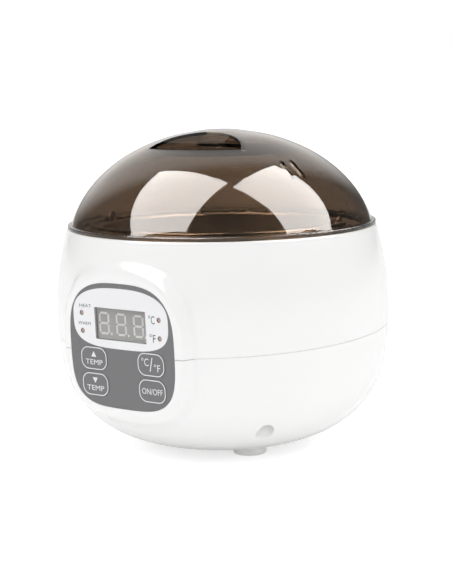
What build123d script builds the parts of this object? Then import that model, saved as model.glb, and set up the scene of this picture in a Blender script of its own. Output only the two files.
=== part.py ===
from build123d import *
import os
from math import asin, cos, degrees, radians, sin

# Table-top wax warmer: a round two-shell body with a flat keypad panel on the front (-Y), a removable
# metal pot in a heated well, and a smoky see-through lid. Millimetres, +Z up, the origin in the middle
# of the footprint on the surface that the feet stand on.

# ---------------------------------------------------------------- driving dimensions
BODY_RADIUS = 104.0          # widest, at the equator
EQUATOR_Z = 87.2
BELLY_DEPTH = 86.0           # lower half: a superellipse of this height
BELLY_POWER = 2.8
BASE_Z = 3.2                 # flat underside
SHOULDER_RADIUS = 177.0      # arc of the upper half, in section
RIM_Z = 138.5
WALL = 2.8

SEAM_Z = 75.7                # parting plane at the axis
SEAM_TILT = 2.4              # degrees, lower at the front
SEAM_GAP = 0.3

DECK_Z = 136.0               # ledge inside the rim, where the pot hangs
DECK_UNDER_Z = 133.6
RIM_INNER_RADIUS = 91.0
MOUTH_RADIUS = 79.5

PANEL_CENTRE = Vector(0, -100.1, 75.7)
PANEL_LEAN = 2.8             # degrees, top forward
PANEL_HALF_WIDTH = 39.3
PANEL_HALF_HEIGHT = 37.6
PANEL_TOP_POWER = 3.0        # rounder above, squarer below
PANEL_BOTTOM_POWER = 3.6
PANEL_MARGIN = 2.2           # flat border of white plastic round the panel
PANEL_LIP = 3.3              # thickness of the shells round the panel
PLATE_BACK = -2.5            # depths behind the panel's face
RIM_BACK = -5.4
MODULE_FACE = -2.9
BOARD_FRONT = -10.9
CARRIER_POSTS = ((-26, 27), (26, 27), (0, -30))
KEY_WIDTH = 20.4
KEY_HEIGHT = 14.3
KEY_CORNER = 5.8
KEY_U = 21.8
KEY_UPPER_V = -8.65
KEY_LOWER_V = -24.5
KEY_PLACES = {
    "key_temp_up": (-KEY_U, KEY_UPPER_V),
    "key_temp_down": (-KEY_U, KEY_LOWER_V),
    "key_unit": (KEY_U, KEY_UPPER_V),
    "key_power": (KEY_U, KEY_LOWER_V),
}
KEY_PROUD = 0.3
KEY_TRAVEL = 0.4
SWITCH_TOP = BOARD_FRONT + 3.5
ACTUATOR_TOP = BOARD_FRONT + 4.2
WINDOW_WIDTH = 38.6
WINDOW_HEIGHT = 19.0
WINDOW_V = 13.0
LIGHT_U = 29.4
LIGHT_V = (18.45, 7.55)
LIGHT_RADIUS = 1.45
LIGHT_PLACES = [(u, v) for u in (-LIGHT_U, LIGHT_U) for v in LIGHT_V]
DIGIT_PITCH = 13.1
DIGIT_WIDTH = 7.9
DIGIT_HEIGHT = 13.6
SEGMENT_WIDTH = 1.25

LID_TURN = 12.0              # degrees from the panel, anticlockwise from above
DOME_RADIUS = 96.5
DOME_HEIGHT = 74.4
DOME_BASE_Z = 123.5          # centre of the dome's ellipse, below the rim
DOME_WALL = 2.2
LID_FLANGE_RADIUS = 96.2
LID_FLANGE_THICKNESS = 2.5
GRIP_FLOOR_Z = 188.0
GRIP_WALL_RADIUS = 32.5
GRIP_OFFSET = 47.0
SLOT_ANGLES = (61.0, 68.0)   # vents, from the grip's direction
SLOT_RADII = (61.0, 72.5)
SLOT_WIDTH = 2.5

POT_INNER_RADIUS = 75.5
POT_BOTTOM_RADIUS = 66.0
POT_FLOOR_Z = 66.0
POT_WALL = 1.2
POT_FLANGE_RADIUS = 86.2
POT_BOTTOM_CORNER = 12.0
POT_SLOPE = (POT_INNER_RADIUS - POT_BOTTOM_RADIUS) / (RIM_Z - POT_FLOOR_Z)
BOWL_GAP = POT_WALL + 0.6    # the heated bowl stands off the pot's inside by this
BOWL_WALL = 1.5
BOWL_TOP = 132.4
BOWL_FLOOR = POT_FLOOR_Z - POT_WALL - 0.6
BAIL_RADIUS = 81.2
BAIL_WIRE = 1.3              # wire radius
BAIL_Z = 140.6

FOOT_RADIUS = 10.2
FOOT_CIRCLE = 37.5
FOOT_ANGLES = (60.0, 180.0, 300.0)       # from the front, towards +X
SCREW_CIRCLE = 84.0
SCREW_ANGLES = (53.0, 127.0, 233.0, 307.0)
SCREW_POCKET_RADIUS = 5.5
SCREW_POCKET_TOP = 56.0
PILLAR_TOP = 60.0

GLAND_Z = 34.0
GLAND_FACE_Y = 93.0
CORD_HOLE_RADIUS = 3.3

BOARD_Z = 14.0               # power board, on posts in the lower shell
BOARD_THICKNESS = 1.6
BOARD_CENTRE_Y = 12.0
BOARD_POSTS = [(x, BOARD_CENTRE_Y + y) for x in (-36, 36) for y in (-24, 24)]
SHIELD_Z = 48.0
SHIELD_ANGLES = (30.0, 150.0, 270.0)
SHIELD_POST_CIRCLE = 56.0
RUNNING_GAP = 0.25

os.makedirs("parts", exist_ok=True)
NODES = {}


def keep(name, shape):
    """Remember a finished sub-part under its node name."""
    NODES[name] = shape
    return shape


# ---------------------------------------------------------------- helpers
def at_angle(radius, angle, z=0.0):
    """Place at a radius, at an angle in degrees measured from the front towards +X."""
    return Pos(radius * sin(radians(angle)), -radius * cos(radians(angle)), z)


def tube(outer, inner, bottom, top):
    """Upright ring about the Z axis."""
    blank = Cylinder(outer, top - bottom, align=(Align.CENTER, Align.CENTER, Align.MIN))
    hole = Cylinder(inner, top - bottom, align=(Align.CENTER, Align.CENTER, Align.MIN))
    return Pos(0, 0, bottom) * (blank - hole)


def post(radius, bottom, top):
    """Upright solid cylinder about the Z axis."""
    return Pos(0, 0, bottom) * Cylinder(radius, top - bottom, align=(Align.CENTER, Align.CENTER, Align.MIN))


def rod(radius, length, forward=True):
    """Solid cylinder along Y, from the origin towards -Y or +Y."""
    turn = Rot(90, 0, 0) if forward else Rot(-90, 0, 0)
    return turn * Cylinder(radius, length, align=(Align.CENTER, Align.CENTER, Align.MIN))


def block(width, depth, height, x, y, bottom):
    """Upright box, centred on x and y."""
    return Pos(x, y, bottom) * Box(width, depth, height, align=(Align.CENTER, Align.CENTER, Align.MIN))


def turned(*edges):
    """Closed half-section of (radius, height) edges, turned about the Z axis."""
    return revolve(Plane.XZ * make_face(edges), Axis.Z)


def group(solids):
    """Separate solids that share one node."""
    return Compound(children=list(solids))


def panel_outline(grow=0.0):
    """Face of the panel's outline, a superellipse grown by a margin."""
    points = []
    for step in range(24):
        c, s = cos(radians(7.5 + 15 * step)), sin(radians(7.5 + 15 * step))
        power = PANEL_TOP_POWER if s > 0 else PANEL_BOTTOM_POWER
        u = (PANEL_HALF_WIDTH + grow) * abs(c) ** (2 / power) * (1 if c > 0 else -1)
        v = (PANEL_HALF_HEIGHT + grow) * abs(s) ** (2 / power) * (1 if s > 0 else -1)
        points.append((u, v))
    return make_face(Spline(points, periodic=True))


PANEL_NORMAL = Vector(0, -cos(radians(PANEL_LEAN)), -sin(radians(PANEL_LEAN)))


def panel_plane(out=0.0):
    """Plane parallel to the panel's face, this far outside it."""
    return Plane(origin=PANEL_CENTRE + PANEL_NORMAL * out, x_dir=(1, 0, 0), z_dir=PANEL_NORMAL)


def panel_prism(sketch, inner, outer):
    """Prism of a sketch in panel coordinates, between two distances from the face."""
    return extrude(panel_plane(inner) * sketch, amount=outer - inner, dir=PANEL_NORMAL)


def key_face(u, v, grow=0.0):
    return Pos(u, v) * RectangleRounded(KEY_WIDTH + 2 * grow, KEY_HEIGHT + 2 * grow, KEY_CORNER + grow)


def pan_screw(shank_radius, length, head_radius, head_height):
    """Pan-head screw, head down, the seat under its head at z = 0."""
    head = post(head_radius, -head_height, 0)
    head = fillet(head.faces().sort_by(Axis.Z)[0].edges(), head_height * 0.45)
    arm, blade = head_radius * 1.1, head_radius * 0.22
    cross = Box(arm, blade, head_height) + Box(blade, arm, head_height)
    return head + post(shank_radius, 0, length) - Pos(0, 0, -head_height) * cross


# ---------------------------------------------------------------- body shells
def body_solid(inset, top):
    """The body's turned form, shrunk by a wall thickness and closed at a height."""
    half_width = BODY_RADIUS - inset
    depth = BELLY_DEPTH - inset
    base = BASE_Z + inset
    arc_radius = SHOULDER_RADIUS - inset

    def belly_radius(drop):
        return half_width * (1 - (drop / depth) ** BELLY_POWER) ** (1 / BELLY_POWER)

    def shoulder(z):
        return half_width - arc_radius + (arc_radius**2 - (z - EQUATOR_Z) ** 2) ** 0.5

    base_radius = belly_radius(EQUATOR_Z - base)
    drops = [depth * sin(radians(a)) ** (2 / BELLY_POWER) for a in (12, 27, 42, 55, 66, 74)]
    flank = [(belly_radius(drop), EQUATOR_Z - drop) for drop in drops]
    equator = (half_width, EQUATOR_Z)
    middle = (top + EQUATOR_Z) / 2
    belly = Spline([equator, *flank, (base_radius, base)])
    upper = ThreePointArc(equator, (shoulder(middle), middle), (shoulder(top), top))
    closing = Polyline([(shoulder(top), top), (0, top), (0, base), (base_radius, base)])
    return turned(belly, upper, closing)


def seam_half(up, gap):
    """Large block on one side of the tilted parting plane."""
    slab = Box(260, 260, 200, align=(Align.CENTER, Align.CENTER, Align.MIN if up else Align.MAX))
    return Pos(0, 0, SEAM_Z) * Rot(SEAM_TILT, 0, 0) * Pos(0, 0, gap / 2 if up else -gap / 2) * slab


def build_shells():
    solid = body_solid(0, RIM_Z)
    solid = fillet(solid.edges().filter_by(GeomType.CIRCLE).sort_by(Axis.Z)[-1], 1.4)
    cavity = body_solid(WALL, DECK_UNDER_Z)

    # flat boss for the panel, with a sloping shoulder
    front = panel_plane(0) * panel_outline(PANEL_MARGIN)
    back = panel_plane(-22) * panel_outline(PANEL_MARGIN + 13)
    boss = loft([front, back], ruled=True)
    outer = solid + boss - panel_prism(panel_outline(PANEL_MARGIN), 0, 12)

    # round pad with a flat face for the cord inlet
    outer += Pos(0, GLAND_FACE_Y, GLAND_Z) * rod(11, 16)
    outer -= Pos(0, GLAND_FACE_Y, GLAND_Z) * rod(11, 16, forward=False)
    hollow = outer - cavity

    # rim ledge and mouth
    hollow -= post(RIM_INNER_RADIUS, DECK_Z, RIM_Z + 1)
    hollow -= post(MOUTH_RADIUS, DECK_UNDER_Z - 1, DECK_Z + 1)

    # panel opening, with a wider pocket behind the front lip
    opening = panel_prism(panel_outline(RUNNING_GAP), -30, 12)
    pocket = panel_prism(panel_outline(1.8), -30, -PANEL_LIP)
    hollow -= opening + pocket

    upper = hollow & seam_half(True, SEAM_GAP)
    lower = hollow & seam_half(False, SEAM_GAP)

    # tongue of the lower shell, behind the seam
    band = body_solid(WALL + 0.1, DECK_UNDER_Z) - body_solid(WALL + 1.4, DECK_UNDER_Z)
    root = body_solid(WALL - 0.6, DECK_UNDER_Z) - body_solid(WALL + 1.4, DECK_UNDER_Z)
    tongue = (band & seam_half(True, -6)) & seam_half(False, -7)
    tongue += (root & seam_half(True, -6)) & seam_half(False, SEAM_GAP)
    lower += tongue - opening - pocket

    # screw pillars: a deep pocket from below, a column from the deck above it
    for angle in SCREW_ANGLES:
        lower += (at_angle(SCREW_CIRCLE, angle) * post(7.5, 10, PILLAR_TOP)) & solid
        lower -= at_angle(SCREW_CIRCLE, angle) * post(SCREW_POCKET_RADIUS, 0, SCREW_POCKET_TOP)
        lower -= at_angle(SCREW_CIRCLE, angle) * post(2.0, SCREW_POCKET_TOP - 1, PILLAR_TOP + 1)
        upper += at_angle(SCREW_CIRCLE, angle) * post(4.5, PILLAR_TOP + 0.2, DECK_UNDER_Z + 0.5)
        upper -= at_angle(SCREW_CIRCLE, angle) * post(1.55, PILLAR_TOP, PILLAR_TOP + 20)

    # foot seats, and posts for the power board and the heat shield
    for angle in FOOT_ANGLES:
        lower += (at_angle(FOOT_CIRCLE, angle) * post(13, BASE_Z, 9)) & solid
    for x, y in BOARD_POSTS:
        lower += (Pos(x, y) * post(3.2, BASE_Z, BOARD_Z)) & solid
    for angle in SHIELD_ANGLES:
        lower += (at_angle(SHIELD_POST_CIRCLE, angle) * post(3.6, BASE_Z, SHIELD_Z)) & solid
    for angle in FOOT_ANGLES:
        lower -= at_angle(FOOT_CIRCLE, angle) * post(FOOT_RADIUS + 0.3, 0, 5.6)
        lower -= at_angle(FOOT_CIRCLE, angle) * post(4.1, 0, 12)
    for x, y in BOARD_POSTS:
        lower -= Pos(x, y) * post(1.2, BOARD_Z - 7, BOARD_Z + 1)
    for angle in SHIELD_ANGLES:
        lower -= at_angle(SHIELD_POST_CIRCLE, angle) * post(1.2, SHIELD_Z - 9, SHIELD_Z + 1)

    # cord inlet bore at the back
    lower -= Pos(0, GLAND_FACE_Y + 1, GLAND_Z) * rod(6.2, 30)
    lower -= Pos(0, GLAND_FACE_Y - 8, GLAND_Z) * rod(9.5, 20)
    keep("upper_shell", upper)
    keep("lower_shell", lower)


def build_base_hardware():
    screw = pan_screw(1.5, 17, 3.6, 2.6)
    keep("shell_screws", group(at_angle(SCREW_CIRCLE, a, SCREW_POCKET_TOP) * screw for a in SCREW_ANGLES))

    pad = post(FOOT_RADIUS, 0, 5.4)
    pad = fillet(pad.faces().sort_by(Axis.Z)[0].edges(), 1.2)
    foot = pad + post(4.0, 5.4, 10.5) + post(4.6, 9.2, 10.5)
    for name, angle in zip(("foot_front_right", "foot_rear", "foot_front_left"), FOOT_ANGLES):
        keep(name, at_angle(FOOT_CIRCLE, angle) * foot)

    # cord inlet bush: flange outside, barrel through the wall, nut inside
    flange = rod(8.6, 2.4, forward=False)
    flange = fillet(flange.faces().sort_by(Axis.Y)[-1].edges(), 1.0)
    bush = flange + rod(6.0, 19) - Pos(0, 4, 0) * rod(CORD_HOLE_RADIUS, 26)
    keep("cord_bush", Pos(0, GLAND_FACE_Y, GLAND_Z) * bush)
    nut = extrude(RegularPolygon(8.4, 6), amount=4) - Cylinder(6.05, 12)
    keep("cord_bush_nut", Pos(0, GLAND_FACE_Y - 8.1, GLAND_Z) * Rot(90, 0, 0) * nut)


# ---------------------------------------------------------------- control panel
def build_panel():
    window_hole = Pos(0, WINDOW_V) * RectangleRounded(WINDOW_WIDTH + 0.2, WINDOW_HEIGHT + 0.2, 0.6)
    cuts = window_hole
    for u, v in KEY_PLACES.values():
        cuts += key_face(u, v, 0.12)
    for u, v in LIGHT_PLACES:
        cuts += Pos(u, v) * Circle(LIGHT_RADIUS + 0.1)
    keep("panel_overlay", panel_prism(panel_outline() - cuts, -0.5, 0))

    plate = panel_prism(panel_outline() - cuts, PLATE_BACK, -0.5)
    edge = panel_prism(panel_outline() - panel_outline(-1.0), -PANEL_LIP - 0.1, PLATE_BACK)
    edge += panel_prism(panel_outline(1.5) - panel_outline(-1.0), RIM_BACK, -PANEL_LIP - 0.1)
    carrier = plate + edge
    for u, v in CARRIER_POSTS:
        carrier += panel_prism(Pos(u, v) * Circle(3.0), BOARD_FRONT, PLATE_BACK)
        carrier -= panel_prism(Pos(u, v) * Circle(1.1), BOARD_FRONT - 1, BOARD_FRONT + 6)
    keep("panel_carrier", carrier)

    lens = Pos(0, WINDOW_V) * RectangleRounded(WINDOW_WIDTH, WINDOW_HEIGHT, 0.5)
    keep("display_window", panel_prism(lens, PLATE_BACK, -0.1))


def build_keys():
    for name, (u, v) in KEY_PLACES.items():
        pad = panel_prism(key_face(u, v), PLATE_BACK - 0.1, KEY_PROUD)
        front = pad.faces().sort_by(Axis((0, 0, 0), PANEL_NORMAL))[-1]
        pad = fillet(front.edges(), 0.25)
        lip = panel_prism(key_face(u, v, 0.5), PLATE_BACK - 0.9, PLATE_BACK - 0.1)
        plunger = panel_prism(Pos(u, v) * Circle(2.0), ACTUATOR_TOP + KEY_TRAVEL + 0.1, PLATE_BACK - 0.9)
        keep(name, pad + lip + plunger)


def digit_segments(u, v):
    """Seven bars of one digit and its decimal point, as sketches."""
    half_w, half_h = DIGIT_WIDTH / 2 - SEGMENT_WIDTH / 2, DIGIT_HEIGHT / 2 - SEGMENT_WIDTH / 2
    level = Rectangle(DIGIT_WIDTH - 2.2 * SEGMENT_WIDTH, SEGMENT_WIDTH)
    upright = Rectangle(SEGMENT_WIDTH, half_h - 0.9 * SEGMENT_WIDTH)
    bars = [Pos(u, v + s * half_h) * level for s in (-1, 0, 1)]
    bars += [Pos(u + s * half_w, v + t * half_h / 2) * upright for s in (-1, 1) for t in (-1, 1)]
    point = Pos(u + half_w + 1.9, v - half_h) * Circle(0.75)
    return bars + [point]


def build_electronics():
    module = Pos(0, WINDOW_V) * RectangleRounded(WINDOW_WIDTH - 0.6, WINDOW_HEIGHT, 0.4)
    keep("display_module", panel_prism(module, BOARD_FRONT, MODULE_FACE))
    bars = []
    for place in (-1, 0, 1):
        bars += digit_segments(place * DIGIT_PITCH - 0.6, WINDOW_V)
    keep("display_segments", group(panel_prism(bar, MODULE_FACE, MODULE_FACE + 0.25) for bar in bars))

    lights = []
    for u, v in LIGHT_PLACES:
        lamp = panel_prism(Pos(u, v) * Circle(LIGHT_RADIUS), BOARD_FRONT, -0.2)
        tip = lamp.faces().sort_by(Axis((0, 0, 0), PANEL_NORMAL))[-1]
        lights.append(fillet(tip.edges(), 0.9))
    keep("indicator_lights", group(lights))

    outline = Pos(0, -1.5) * RectangleRounded(66, 66, 8)
    board = panel_prism(outline, BOARD_FRONT - BOARD_THICKNESS, BOARD_FRONT)
    for u, v in CARRIER_POSTS:
        board -= panel_prism(Pos(u, v) * Circle(1.4), BOARD_FRONT - 3, BOARD_FRONT + 1)
    keep("control_board", board)

    switches = []
    for u, v in KEY_PLACES.values():
        base = panel_prism(Pos(u, v) * Rectangle(6, 6), BOARD_FRONT, SWITCH_TOP)
        switches.append(base + panel_prism(Pos(u, v) * Circle(1.75), SWITCH_TOP, ACTUATOR_TOP))
    keep("tact_switches", group(switches))

    screw = pan_screw(1.05, 6.5, 2.4, 1.7)
    seats = [panel_plane(BOARD_FRONT - BOARD_THICKNESS).location * Pos(u, v) for u, v in CARRIER_POSTS]
    keep("control_board_screws", group(seat * screw for seat in seats))


# ---------------------------------------------------------------- heated well
def well_radius(z, out):
    """Radius at a height of a cone that stands off the pot's inside by a gap."""
    return POT_BOTTOM_RADIUS + POT_SLOPE * (z - POT_FLOOR_Z) + out


def cup_section(gap, wall, floor_z, top_z, corner):
    """Half-section of a tapered cup that stands off the pot's inside by a gap."""
    low_z, out = floor_z - wall, gap + wall
    inside = [(0, floor_z), (well_radius(floor_z, gap), floor_z), (well_radius(top_z, gap), top_z)]
    outside = [(0, low_z), (well_radius(low_z, out), low_z), (well_radius(top_z, out), top_z)]
    inner = FilletPolyline(inside, radius=corner)
    outer = FilletPolyline(outside, radius=corner + wall)
    return make_face([inner, Line(inside[2], outside[2]), outer, Line(outside[0], inside[0])])


def sleeve(gap, wall, bottom, top):
    """Tapered sleeve round the well, from one height to another."""
    low, high = well_radius(bottom, gap), well_radius(top, gap)
    section = [(low, bottom), (low + wall, bottom), (high + wall, top), (high, top)]
    return turned(Polyline(section, close=True))


def column_clearance(bottom, top):
    """Room for the four screw columns, cut from what surrounds the well."""
    return group(at_angle(SCREW_CIRCLE, a) * post(5.1, bottom, top) for a in SCREW_ANGLES)


def build_well():
    section = cup_section(BOWL_GAP, BOWL_WALL, BOWL_FLOOR, BOWL_TOP, POT_BOTTOM_CORNER)
    bowl = revolve(Plane.XZ * section, Axis.Z)
    collar = tube(84.5, 77.6, BOWL_TOP - 1.5, BOWL_TOP)
    bowl = bowl + collar - column_clearance(BOWL_TOP - 5, BOWL_TOP + 5)
    keep("heating_bowl", bowl)
    seal = tube(84.5, 78.4, BOWL_TOP, DECK_UNDER_Z) - column_clearance(BOWL_TOP - 5, DECK_UNDER_Z + 5)
    keep("bowl_seal", seal)

    outside = BOWL_GAP + BOWL_WALL
    keep("heater_band", sleeve(outside + 0.05, 1.4, 78, 112))
    keep("heater_clamps", group(sleeve(outside + 1.5, 0.6, z, z + 7) for z in (82, 101)))
    notch = block(26, 20, 70, -17, 80, 62)
    keep("insulation_wrap", sleeve(outside + 2.4, 2.6, 72, 122) - notch - column_clearance(60, 130))

    # under the well: sensor and thermal cut-out, each held to the floor by a clip
    floor = BOWL_FLOOR - BOWL_WALL
    probe = Rot(0, 90, 0) * Cylinder(2.5, 12)
    keep("temperature_sensor", Pos(0, -14, floor - 2.6) * probe)
    clip = block(4, 15, 1, 0, -14, floor - 6.2)
    clip += block(4, 1.2, 5.7, 0, -21, floor - 6.2) + block(4, 1.2, 5.7, 0, -7, floor - 6.2)
    keep("sensor_clip", clip - Pos(0, -14, floor - 2.6) * Rot(0, 90, 0) * Cylinder(2.55, 30))
    fuse = Rot(0, 90, 0) * (Cylinder(2.2, 11) + Cylinder(0.5, 34))
    keep("thermal_cutout", Pos(0, 16, floor - 2.4) * fuse)

    shield = post(64, SHIELD_Z, SHIELD_Z + 0.8) + tube(64, 63.2, SHIELD_Z, SHIELD_Z + 6)
    for angle in SHIELD_ANGLES:
        shield -= at_angle(SHIELD_POST_CIRCLE, angle) * post(1.7, SHIELD_Z - 1, SHIELD_Z + 2)
    keep("heat_shield", shield)
    screw = Rot(180, 0, 0) * pan_screw(1.15, 8, 2.6, 1.8)
    seats = [at_angle(SHIELD_POST_CIRCLE, angle, SHIELD_Z + 0.8) for angle in SHIELD_ANGLES]
    keep("shield_screws", group(seat * screw for seat in seats))


# ---------------------------------------------------------------- power supply in the base
def build_power():
    board = block(84, 60, BOARD_THICKNESS, 0, BOARD_CENTRE_Y, BOARD_Z)
    for x, y in BOARD_POSTS:
        board -= Pos(x, y) * post(1.5, BOARD_Z - 1, BOARD_Z + 3)
    keep("power_board", board)
    screw = Rot(180, 0, 0) * pan_screw(1.15, 7, 2.6, 1.8)
    keep("power_board_screws", group(Pos(x, y, BOARD_Z + BOARD_THICKNESS) * screw for x, y in BOARD_POSTS))

    top = BOARD_Z + BOARD_THICKNESS
    core = block(32, 27, 20, -18, 16, top)
    keep("power_transformer", fillet(core.edges().filter_by(Axis.Z), 1.5))
    relay = block(19, 15.5, 15.5, 18, 2, top)
    keep("power_relay", fillet(relay.edges().filter_by(Axis.Z), 0.8))
    can = Pos(20, -12) * post(5, top, top + 16)
    keep("smoothing_capacitor", fillet(can.faces().sort_by(Axis.Z)[-1].edges(), 0.8))
    terminal = block(24, 11, 12, 12, 34, top)
    for x in (4, 12, 20):
        terminal -= Pos(x, 34) * post(1.8, top + 6, top + 13)
        terminal -= Pos(x, 39.5, top + 3.6) * Rot(90, 0, 0) * Cylinder(1.6, 12)
    keep("terminal_block", terminal)
    glass = Pos(-4, -8, top + 3.4) * Rot(0, 90, 0) * Cylinder(2.6, 20)
    caps = [Pos(x, -8, top + 3.4) * Box(1.4, 5, 6.8) for x in (-14.8, 6.8)]
    keep("mains_fuse", glass + caps[0] + caps[1])


def lead(points, bends, radius):
    """Round wire through straight runs joined by arcs."""
    path = FilletPolyline(points, radius=bends)
    return sweep((path ^ 0) * Circle(radius), path=path)


def build_wiring():
    top = BOARD_Z + BOARD_THICKNESS
    lead_z = 94
    band_radius = well_radius(lead_z, BOWL_GAP + BOWL_WALL + 1.45)
    leads = []
    for x, start_x in ((-14, 4), (-20, -3)):
        reach = (band_radius**2 - x**2) ** 0.5 + 0.4
        points = [(start_x, 42, top + 3.6), (start_x, 56, top + 3.6), (x, 80, top + 12)]
        points += [(x, 80, lead_z), (x, reach, lead_z)]
        leads.append(lead(points, 1.6, 0.8))
    keep("heater_leads", group(leads))

    start = panel_plane(BOARD_FRONT - BOARD_THICKNESS - 0.5).from_local_coords(Vector(0, -14, 0))
    points = [(0, start.Y, start.Z), (0, start.Y + 8, start.Z - 3)]
    points += [(0, -70, 30), (0, -50, 20), (0, -26, top + 1)]
    path = FilletPolyline(points, radius=3)
    keep("panel_ribbon", sweep((path ^ 0) * Rectangle(0.9, 14), path=path))


# ---------------------------------------------------------------- removable pot
def build_pot():
    cup = revolve(Plane.XZ * cup_section(0, POT_WALL, POT_FLOOR_Z, DECK_Z + 1.4, POT_BOTTOM_CORNER), Axis.Z)
    inner = POT_INNER_RADIUS - 0.2
    crown = ThreePointArc((inner, 137.4), (inner + 0.9, 138.7), (inner + 2.3, 139.0))
    slope = Line((inner + 2.3, 139.0), (POT_FLANGE_RADIUS - 1.2, 137.9))
    outer = POT_FLANGE_RADIUS
    bead = ThreePointArc((outer - 1.2, 137.9), (outer, 137.0), (outer - 0.8, 136.05))
    under = Polyline([(outer - 0.8, 136.05), (inner + 1.3, 136.05), (inner, 137.4)])
    flange = turned(crown, slope, bead, under)
    keep("wax_pot", cup + flange)


def build_bail():
    turn = Rot(0, 0, LID_TURN)
    tab_x = 78.4
    flange_below = [(70, 139.03), (77.6, 139.03), (86, 137.93), (86, 130), (70, 130)]
    flange_below = turned(Polyline(flange_below, close=True))
    ears, rivets = [], []
    for side in (-1, 1):
        foot = Pos(side * 81.6, 0, 138.0) * Box(7.4, 9, 2.4)
        foot -= flange_below
        plate = Pos(side * tab_x, 0, 0) * Rot(0, 90, 0) * extrude(SlotOverall(9.5, 7), amount=0.6, both=True)
        tab = Pos(0, 0, BAIL_Z) * plate
        tab -= flange_below
        ear = tab + foot - Pos(side * tab_x, 0, BAIL_Z) * Rot(0, 90, 0) * Cylinder(BAIL_WIRE + 0.08, 6)
        ears.append(turn * ear)
        for y in (-3, 3):
            rivets.append(turn * Pos(side * 84.1, y) * post(0.8, 139.2, 140.0))
    keep("pot_ears", group(ears))
    keep("ear_rivets", group(rivets))

    arc = ThreePointArc((-BAIL_RADIUS, 0, BAIL_Z), (0, -BAIL_RADIUS, BAIL_Z), (BAIL_RADIUS, 0, BAIL_Z))
    wire = sweep((arc ^ 0) * Circle(BAIL_WIRE), path=arc)
    for side in (-1, 1):
        wire += Pos(side * BAIL_RADIUS, 0, BAIL_Z) * Sphere(BAIL_WIRE)
        wire += Pos(side * (BAIL_RADIUS - 2.6), 0, BAIL_Z) * Rot(0, 90, 0) * Cylinder(BAIL_WIRE, 5.2)
    keep("pot_bail", turn * wire)


# ---------------------------------------------------------------- lid
def dome_section(inset, cut_z):
    """Half-section of the dome's solid ellipse, shrunk by a thickness, above a height."""
    a, b = DOME_RADIUS - inset, DOME_HEIGHT - inset
    start = degrees(asin((cut_z - DOME_BASE_Z) / b))
    angles = [radians(start + (90 - start) * step / 9) for step in range(10)]
    points = [(a * cos(t), DOME_BASE_Z + b * sin(t)) for t in angles]
    foot_tangent = (-a * sin(angles[0]), b * cos(angles[0]))
    curve = Spline(points, tangents=[foot_tangent, (-1, 0)])
    return make_face([curve, Polyline([points[-1], (0, cut_z), points[0]])])


def section_box(inner, outer, bottom, top):
    return Pos((inner + outer) / 2, (bottom + top) / 2) * Rectangle(outer - inner, top - bottom)


def build_lid():
    flange_top = RIM_Z + LID_FLANGE_THICKNESS
    ledge_z = RIM_Z + 1.6
    flange = section_box(80, LID_FLANGE_RADIUS, RIM_Z, flange_top)
    flange = fillet(flange.vertices().sort_by(Axis.X)[-2:], 0.7)
    filled = dome_section(0, RIM_Z) + flange + section_box(0, 90.6, DECK_Z + 0.4, RIM_Z + 1)
    outer = revolve(Plane.XZ * filled, Axis.Z)
    open_section = dome_section(DOME_WALL, ledge_z) + section_box(0, 88.4, DECK_Z - 1, ledge_z + 1)
    inner = revolve(Plane.XZ * open_section, Axis.Z)

    # finger scoops, one each side of a waisted grip
    scoops = [Rot(0, 0, side) * Pos(0, -GRIP_OFFSET, 0) for side in (0, 180)]
    for place in scoops:
        inner -= place * post(GRIP_WALL_RADIUS + DOME_WALL, GRIP_FLOOR_Z - DOME_WALL, 210)
    dome = outer - inner
    for place in scoops:
        dome -= place * post(GRIP_WALL_RADIUS, GRIP_FLOOR_Z, 210)
    for angle in SLOT_ANGLES:
        length = SLOT_RADII[1] - SLOT_RADII[0]
        slot = extrude(SlotOverall(length, SLOT_WIDTH), amount=40)
        dome -= at_angle(sum(SLOT_RADII) / 2, angle, 150) * Rot(0, 0, angle - 90) * slot
    turn = Rot(0, 0, LID_TURN)
    keep("lid_dome", turn * dome)

    # clear disc that closes the scoops from below
    under_floor = GRIP_FLOOR_Z - DOME_WALL
    disc = dome_section(DOME_WALL + 0.05, under_floor - 2.4) - section_box(0, 90, under_floor - 0.05, 210)
    keep("lid_grip_plate", revolve(Plane.XZ * disc, Axis.Z))


build_shells()
build_base_hardware()
build_panel()
build_keys()
build_electronics()
build_well()
build_power()
build_wiring()
build_pot()
build_bail()
build_lid()

for name, shape in NODES.items():
    export_step(shape, f"parts/{name}.step")
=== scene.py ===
import bpy
from math import asin, cos, pi, radians, sin, tan
from mathutils import Matrix, Vector


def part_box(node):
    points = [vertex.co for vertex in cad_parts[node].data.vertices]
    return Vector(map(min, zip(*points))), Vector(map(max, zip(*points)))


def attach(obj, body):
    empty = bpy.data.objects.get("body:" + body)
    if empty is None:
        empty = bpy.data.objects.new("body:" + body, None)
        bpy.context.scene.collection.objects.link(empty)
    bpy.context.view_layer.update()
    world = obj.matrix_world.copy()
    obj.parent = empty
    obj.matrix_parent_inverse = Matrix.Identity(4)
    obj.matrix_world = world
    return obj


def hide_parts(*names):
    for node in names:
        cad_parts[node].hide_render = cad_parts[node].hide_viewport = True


# Looks of a table-top wax warmer: white two-shell body, printed keypad panel, smoky lid, spun metal pot.
# Lengths below are in millimetres and become metres when a mesh is made.

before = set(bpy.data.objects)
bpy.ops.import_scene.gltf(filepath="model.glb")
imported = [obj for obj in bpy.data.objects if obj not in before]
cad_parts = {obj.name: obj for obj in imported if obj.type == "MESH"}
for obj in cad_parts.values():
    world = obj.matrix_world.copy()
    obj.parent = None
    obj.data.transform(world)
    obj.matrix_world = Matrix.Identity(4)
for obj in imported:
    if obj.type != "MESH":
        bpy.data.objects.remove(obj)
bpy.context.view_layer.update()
bpy.ops.object.select_all(action="DESELECT")
MM = 0.001

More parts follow.
